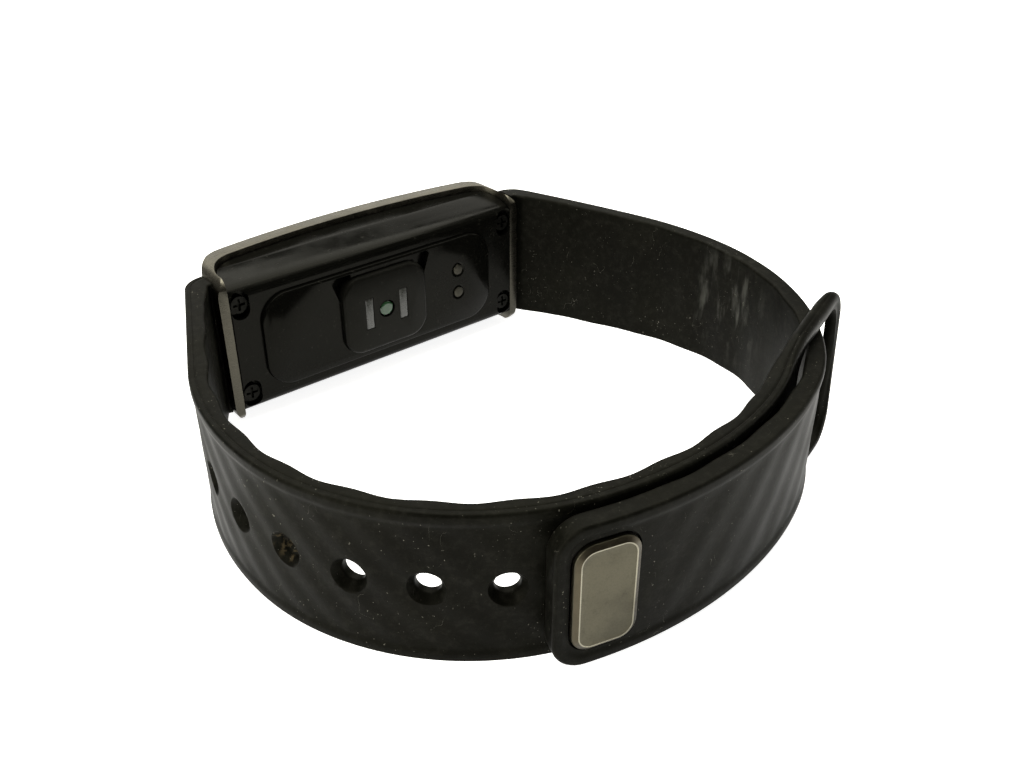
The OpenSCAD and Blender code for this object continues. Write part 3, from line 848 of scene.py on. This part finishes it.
def make_optics_and_contacts(window, lens, contact):
    """The two windows and the lens in the pad, and the two charging contacts in the island."""
    front = node_box("photodiode_windows")[1][1]
    profile = [(front, 0), (PAD_Y + 0.14, 0), (PAD_Y + 0.06, 0.04), (PAD_Y + 0.02, 0.12)]
    small_piece("photodiode_windows_finished", "photodiode_windows", window,
                lambda g: rounded_outline(WINDOW_W - 2 * g, WINDOW_H - 2 * g, 0.2 - g, 4),
                profile, [(SENSOR_X - WINDOW_X, 0), (SENSOR_X + WINDOW_X, 0)])
    front = node_box("led_lens")[1][1]
    profile = [(front, 0), (PAD_Y + 0.16, 0), (PAD_Y + 0.08, 0.1), (PAD_Y + 0.04, 0.35)]
    small_piece("led_lens_finished", "led_lens", lens,
                lambda g: circle_outline(0.9 - g, 36), profile, [(SENSOR_X, 0)])
    low, high = node_box("charge_contacts")
    profile = [(high[1], 0), (low[1] + 0.12, 0), (low[1] + 0.03, 0.06), (low[1], 0.2)]
    small_piece("charge_contacts_finished", "charge_contacts", contact,
                lambda g: circle_outline(0.7 - g, 36), profile,
                [(CONTACT_X, -CONTACT_Z), (CONTACT_X, CONTACT_Z)])


# ---------------------------------------------------------------- materials
class Nodes:
    """A material's node tree with a Principled shader. Keywords set the shader's own inputs."""

    def __init__(self, name, **values):
        self.material = bpy.data.materials.new(name)
        self.material.use_nodes = True
        self.tree = self.material.node_tree
        self.shader = self.tree.nodes["Principled BSDF"]
        for key, value in values.items():
            self.shader.inputs[key.replace("_", " ")].default_value = value
        self.coords = self.tree.nodes.new("ShaderNodeTexCoord").outputs["Object"]

    def add(self, kind, settings=None, **inputs):
        """A node. Inputs are named, or numbered as i0, i1 and so on, and are set or linked."""
        node = self.tree.nodes.new(kind)
        for key, value in (settings or {}).items():
            setattr(node, key, value)
        for key, value in inputs.items():
            numbered = key[0] == "i" and key[1:].isdigit()
            socket = node.inputs[int(key[1:]) if numbered else key.replace("_", " ")]
            if isinstance(value, bpy.types.NodeSocket):
                self.tree.links.new(value, socket)
            else:
                socket.default_value = value
        return node

    def link(self, value, socket_name):
        self.tree.links.new(value, self.shader.inputs[socket_name])

    def mapped(self, scale=(1, 1, 1)):
        """Coordinates in millimetres, stretched by scale."""
        size = tuple(c / MM for c in scale)
        return self.add("ShaderNodeMapping", None, Vector=self.coords, Scale=size).outputs["Vector"]

    def noise(self, scale, detail, vector=None, rough=0.5):
        node = self.add("ShaderNodeTexNoise", None, Vector=vector or self.mapped(),
                        Scale=scale, Detail=detail, Roughness=rough)
        return node.outputs["Fac"]

    def remap(self, value, a, b, lo=0.0, hi=1.0):
        """Lo where value is a, hi where it is b, smooth between."""
        node = self.add("ShaderNodeMapRange", {"interpolation_type": "SMOOTHSTEP"},
                        i0=value, i1=a, i2=b, i3=lo, i4=hi)
        return node.outputs["Result"]

    def math(self, operation, a, b=0.0):
        return self.add("ShaderNodeMath", {"operation": operation}, i0=a, i1=b).outputs[0]

    def near(self, point, far, close):
        """1 within close millimetres of a point, 0 beyond far."""
        place = tuple(float(c) for c in point)
        node = self.add("ShaderNodeVectorMath", {"operation": "DISTANCE"}, i0=self.mapped(), i1=place)
        return self.remap(node.outputs["Value"], far, close)

    def mix(self, factor, a, b):
        node = self.add("ShaderNodeMix", {"data_type": "RGBA"}, i0=factor, i6=a, i7=b)
        return node.outputs[2]

    def bump(self, height, strength, distance):
        node = self.add("ShaderNodeBump", None, Height=height, Strength=strength, Distance=distance * MM)
        self.link(node.outputs["Normal"], "Normal")


def shade(colour, factor):
    """The colour, darker by a factor, with full opacity."""
    return tuple(c * factor for c in colour[:3]) + (1,)


def floor_material():
    """Pale floor that also glows, as a lit studio sweep does."""
    m = Nodes("floor_pale", Base_Color=(0.88, 0.88, 0.88, 1), Roughness=0.7)
    m.shader.inputs["Emission Color"].default_value = (1, 1, 1, 1)
    m.shader.inputs["Emission Strength"].default_value = 0.9
    return m.material


DUST_COLOUR = (0.3, 0.29, 0.24, 1)


def rubber_material():
    """Black rubber, matt from wear, with dust, dusty streaks inside the short strap and dirt in one hole.
    """
    m = Nodes("black_rubber_worn", Base_Color=(0.004, 0.004, 0.003, 1), Roughness=0.5,
              Specular_IOR_Level=0.04)
    m.shader.inputs["Specular Tint"].default_value = (1, 0.98, 0.8, 1)
    cloud = m.noise(0.12, 4)
    base = m.mix(m.remap(cloud, 0.35, 0.7), (0.002, 0.002, 0.0014, 1), (0.0042, 0.0042, 0.0029, 1))
    speck = m.remap(m.noise(2.6, 2, rough=0.6), 0.71, 0.75)
    speck = m.math("MULTIPLY", speck, m.remap(m.noise(0.09, 2), 0.45, 0.6))
    line_noise = m.noise(0.55, 1.5, m.mapped((1, 1, 0.6)))
    line = m.remap(m.math("ABSOLUTE", m.math("SUBTRACT", line_noise, 0.5)), 0.0016, 0.0)
    line = m.math("MULTIPLY", line, m.remap(m.noise(0.35, 1), 0.61, 0.68))
    fine = m.remap(m.noise(4.2, 1, rough=0.7), 0.74, 0.78)
    fine = m.math("MULTIPLY", fine, m.remap(m.noise(0.3, 2), 0.4, 0.6))
    film = m.remap(m.noise(1.1, 6, rough=0.72), 0.44, 0.72, 0, 0.016)
    base = m.mix(film, base, DUST_COLOUR)
    dust = m.math("MULTIPLY", m.math("MAXIMUM", m.math("MAXIMUM", speck, fine), line), 0.4)
    base = m.mix(dust, base, DUST_COLOUR)
    streaks = m.remap(m.noise(0.75, 4, m.mapped((1, 1, 0.3))), 0.48, 0.75)
    dusty_at = SHORT_STRAP.points(np.array(DUST_S), np.array(1.0), np.array(STRAP_T))
    dusty = m.math("MULTIPLY", m.near(dusty_at, 9.0, 1.5), streaks)
    base = m.mix(m.math("MULTIPLY", dusty, 0.2), base, (0.28, 0.28, 0.25, 1))
    dirt_at = LONG_STRAP.points(np.array(HOLES[2]), np.array(0.0), np.array(1.0))
    dirt = m.math("MULTIPLY", m.near(dirt_at, 2.0, 1.0), m.remap(m.noise(1.6, 4), 0.5, 0.66, 0, 0.7))
    base = m.mix(dirt, base, (0.085, 0.066, 0.038, 1))
    m.link(base, "Base Color")
    rough = m.remap(cloud, 0.3, 0.75, 0.42, 0.56)
    m.link(m.math("ADD", rough, m.math("MULTIPLY", dust, 0.6)), "Roughness")
    m.bump(m.math("ADD", m.noise(9, 3), m.math("MULTIPLY", m.noise(2.2, 3), 1.5)), 0.25, 0.03)
    return m.material


def brushed_metal(name, colour, rough, stretch=(0.15, 1, 6), wrist_side_shade=False):
    """Brushed steel. The wrist_side_shade option paints shade: the end bars turn dull and dark toward the
    wrist side, where they stand in shade.
    """
    m = Nodes(name, Base_Color=colour, Metallic=1.0, Roughness=rough)
    lines = m.noise(6, 2, m.mapped(stretch))
    cloud = m.noise(0.25, 3)
    wear = m.noise(1.1, 4)
    base = m.mix(m.remap(cloud, 0.35, 0.65), colour, shade(colour, 0.72))
    if wrist_side_shade:
        # painted shade: away from the rails, the end bars darken toward the wrist side
        place = m.add("ShaderNodeSeparateXYZ", None, Vector=m.mapped())
        height = m.math("ABSOLUTE", m.math("SUBTRACT", place.outputs["Z"], MID_Z))
        bars_not_rails = m.remap(height, 8.6, 7.6)
        wrist_shade_mask = m.math("MULTIPLY", m.remap(place.outputs["Y"], -3.6, -6.5), bars_not_rails)
        base = m.mix(wrist_shade_mask, base, shade(colour, 0.38))
    m.link(base, "Base Color")
    streaky = m.remap(lines, 0.3, 0.7, rough - 0.06, rough + 0.1)
    m.link(m.math("ADD", streaky, m.remap(wear, 0.55, 0.75, 0, 0.12)), "Roughness")
    m.bump(lines, 0.15, 0.01)
    return m.material


def gloss_black(name, base, rough):
    """Black plastic with smears and a few dusty spots."""
    m = Nodes(name, Base_Color=base, Roughness=rough, IOR=1.15)
    m.shader.inputs["Specular Tint"].default_value = (1, 0.98, 0.84, 1)
    smear = m.noise(0.3, 4)
    fine = m.noise(3.5, 3)
    spots = m.remap(m.noise(1.7, 4, rough=0.65), 0.62, 0.72)
    dusty = m.math("MULTIPLY", spots, 0.2)
    m.link(m.mix(dusty, base, (0.05, 0.048, 0.04, 1)), "Base Color")
    smeared = m.remap(smear, 0.35, 0.7, rough, rough + 0.14)
    m.link(m.math("ADD", smeared, m.math("MULTIPLY", dusty, 0.4)), "Roughness")
    m.bump(fine, 0.04, 0.02)
    return m.material


def display_material():
    """Black glass; the panel behind it shows as a slightly lighter rounded field."""
    m = Nodes("display_black_glass", Base_Color=(0.004, 0.004, 0.005, 1), Roughness=0.05, IOR=1.28)
    split = m.add("ShaderNodeSeparateXYZ", None, Vector=m.mapped())
    x = m.math("ABSOLUTE", split.outputs["X"])
    z = m.math("ABSOLUTE", m.math("SUBTRACT", split.outputs["Z"], MID_Z))
    field = m.math("MULTIPLY", m.remap(x, 12.6, 12.4), m.remap(z, 6.1, 5.9))
    m.link(m.mix(field, (0.0035, 0.0035, 0.004, 1), (0.011, 0.011, 0.014, 1)), "Base Color")
    m.link(m.remap(m.noise(0.35, 4), 0.4, 0.75, 0.04, 0.11), "Roughness")
    return m.material


def plain_material(name, colour, rough, metallic=0.0, grain=0.1):
    """Small inner parts and trim: a colour with fine mottling and a light grain."""
    colour = shade(colour, 1)
    m = Nodes(name, Base_Color=colour, Roughness=rough, Metallic=metallic)
    darker = shade(colour, 0.78)
    m.link(m.mix(m.remap(m.noise(0.8, 4), 0.3, 0.7), darker, colour), "Base Color")
    m.link(m.remap(m.noise(2.5, 3), 0.3, 0.7, rough - 0.06, rough + 0.08), "Roughness")
    m.bump(m.noise(6, 2), grain, 0.02)
    return m.material


METAL_CLASSES = ("brushed_steel", "chrome", "aluminium", "cast_iron", "brass")


def record_material(info):
    """A material for a slot of the record."""
    metallic = 1.0 if info["class"] in METAL_CLASSES else 0.0
    rough = 0.25 if "gloss" in info["class"] else 0.45
    return plain_material("cad_" + info["slot"], info["base_color"], rough, metallic)


def paint_cad_nodes(by_slot, by_node):
    """Gives every CAD node a material: by_node's or by_slot's, or else one made from the record."""
    record = frame["record"]
    slots = {row["slot"]: row for row in record["materials"]}
    made = dict(by_slot)
    for row in record["subparts"]:
        slot = row["material_slot"]
        if slot not in made:
            made[slot] = record_material(slots[slot])
        paint(frame["nodes"][row["node"]], by_node.get(row["node"], made[slot]))


# ---------------------------------------------------------------- everything together
PLATE_STRETCH = (1, 1, 1)      # no brushing direction


def main():
    add_camera()
    add_studio()
    bpy.context.scene.view_settings.view_transform = "Standard"
    rubber = rubber_material()
    # painted shade darkens the frame's end bars toward the wrist side
    metal = brushed_metal("frame_metal", (0.145, 0.136, 0.108, 1), 0.3, wrist_side_shade=True)
    plate = brushed_metal("plate_metal", (0.075, 0.069, 0.048, 1), 0.4, PLATE_STRETCH)
    # darker and much lighter copies of the plate's steel: painted shade on the bevel, painted highlight on
    # the rim
    bevel_shade_steel = brushed_metal("plate_bevel_painted_shade", (0.065, 0.056, 0.038, 1), 0.35, PLATE_STRETCH)
    rim_highlight_steel = brushed_metal("plate_rim_painted_highlight", (0.26, 0.245, 0.19, 1), 0.35, PLATE_STRETCH)
    steel = plain_material("stud_metal", (0.55, 0.54, 0.52), 0.28, 1.0, 0.03)
    gloss = gloss_black("cover_gloss_black", (0.0025, 0.0025, 0.002, 1), 0.14)
    pad = gloss_black("pad_black_satin", (0.004, 0.004, 0.0033, 1), 0.3)
    make_long_strap(rubber)
    make_short_strap(rubber)
    make_clasp(plate, bevel_shade_steel, rim_highlight_steel, steel)
    make_bezel(metal)
    make_inserts(steel)
    make_glass(display_material())
    make_rear_cover(gloss)
    make_sensor_pad(pad)
    window = plain_material("window_frosted", (0.027, 0.028, 0.023), 0.3, 0.0, 0.02)
    lens = plain_material("lens_green", (0.016, 0.052, 0.02), 0.12, 0.0, 0.02)
    contact = plain_material("contact_metal", (0.04, 0.038, 0.03), 0.4, 1.0, 0.05)
    make_optics_and_contacts(window, lens, contact)
    screw = plain_material("screw_dark_steel", (0.01, 0.0098, 0.0085), 0.5, 1.0, 0.05)
    by_slot = {"brushed_steel": steel, "black_rubber": rubber, "gloss_black": gloss, "pad_black": pad,
               "window_grey": window, "lens_green": lens, "contact_plating": contact}
    paint_cad_nodes(by_slot, {"strap_screws": screw, "cover_seal": rubber})


main()
